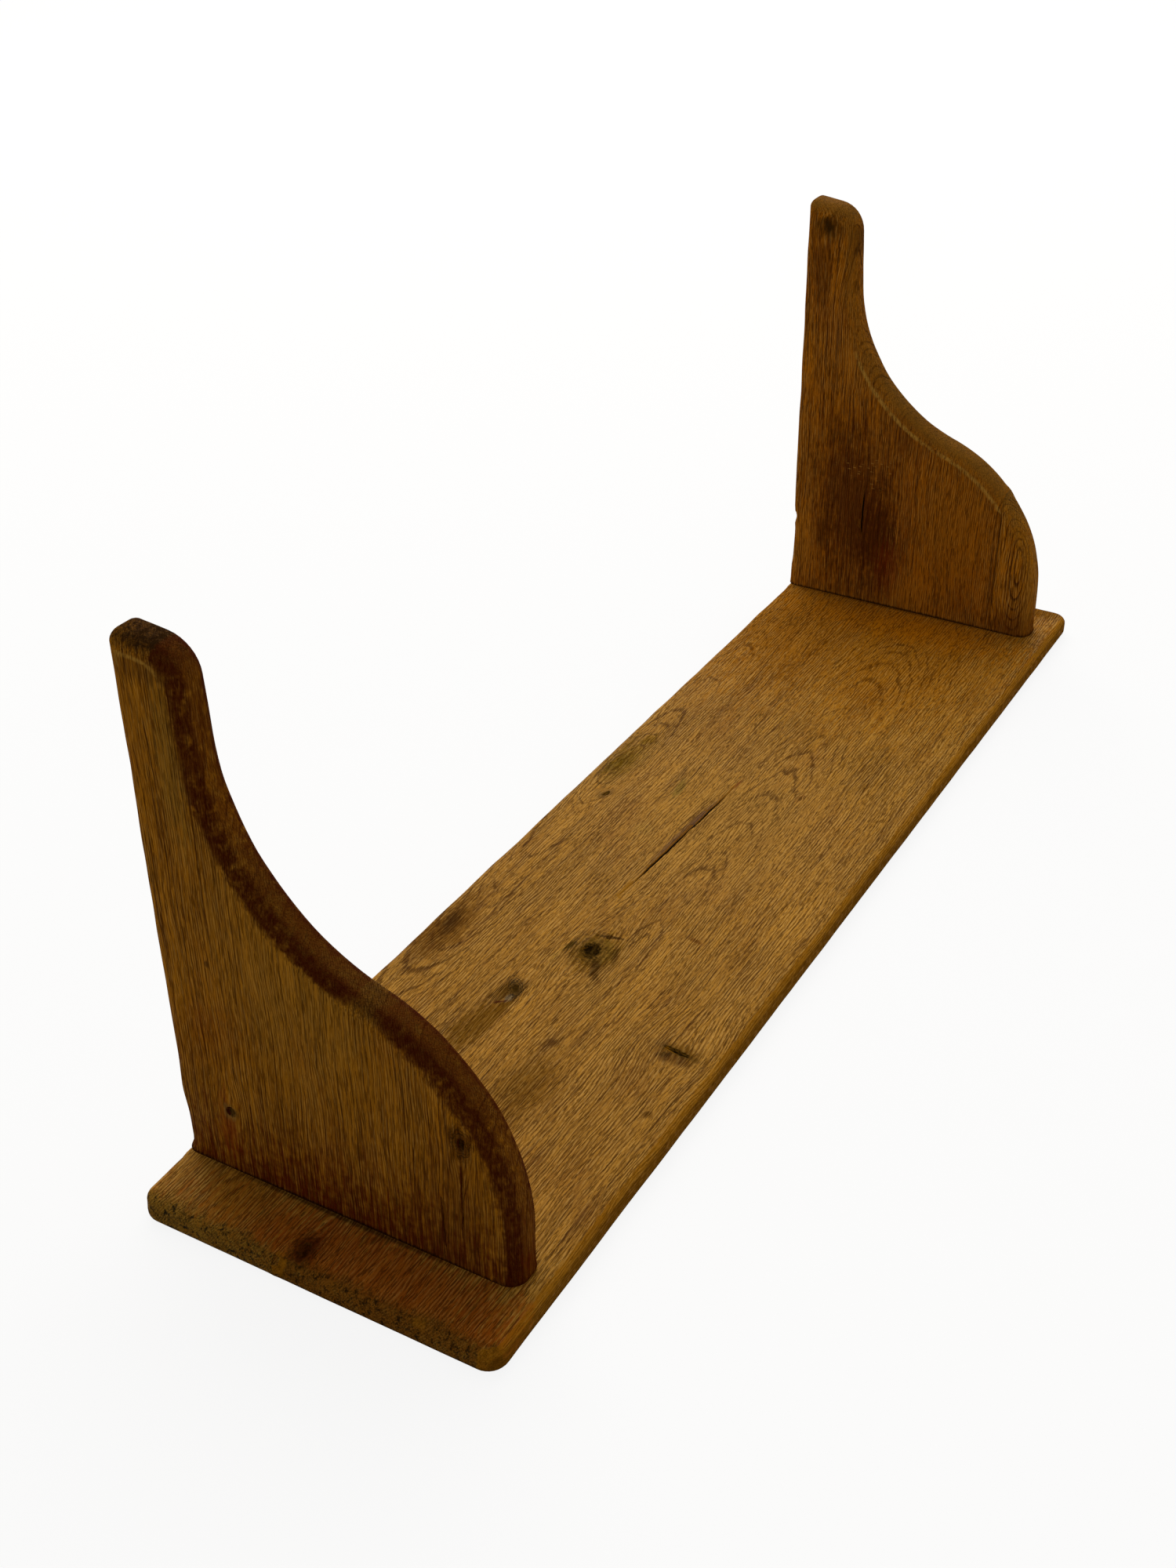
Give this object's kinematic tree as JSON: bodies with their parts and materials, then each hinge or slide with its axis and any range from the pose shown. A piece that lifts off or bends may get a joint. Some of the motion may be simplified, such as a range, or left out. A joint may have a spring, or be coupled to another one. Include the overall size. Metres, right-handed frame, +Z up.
{
  "type": "wall shelf",
  "caption": "Oak wall shelf: a flat board with rounded arrises between two upright ogee brackets that stand flush with its back edge.",
  "frame": {"origin": "under the middle of the board, in the plane of its underside", "axes": "+X along the board to the right, +Y towards the wall, +Z up"},
  "size_m": [0.86, 0.22, 0.3282],
  "materials": {
    "board_oak": "oiled and waxed, honey brown",
    "bracket_oak": "oiled and waxed, dark brown",
    "steel": "bright"
  },
  "bodies": {
    "root": {"board_back_stave": "board_oak", "board_front_stave": "board_oak", "left_bracket": "bracket_oak", "right_bracket_back_stave": "bracket_oak", "right_bracket_front_stave": "bracket_oak", "left_screw_1": "steel", "left_screw_2": "steel", "left_screw_3": "steel", "right_screw_1": "steel", "right_screw_2": "steel", "right_screw_3": "steel"}
  },
  "joints": []
}
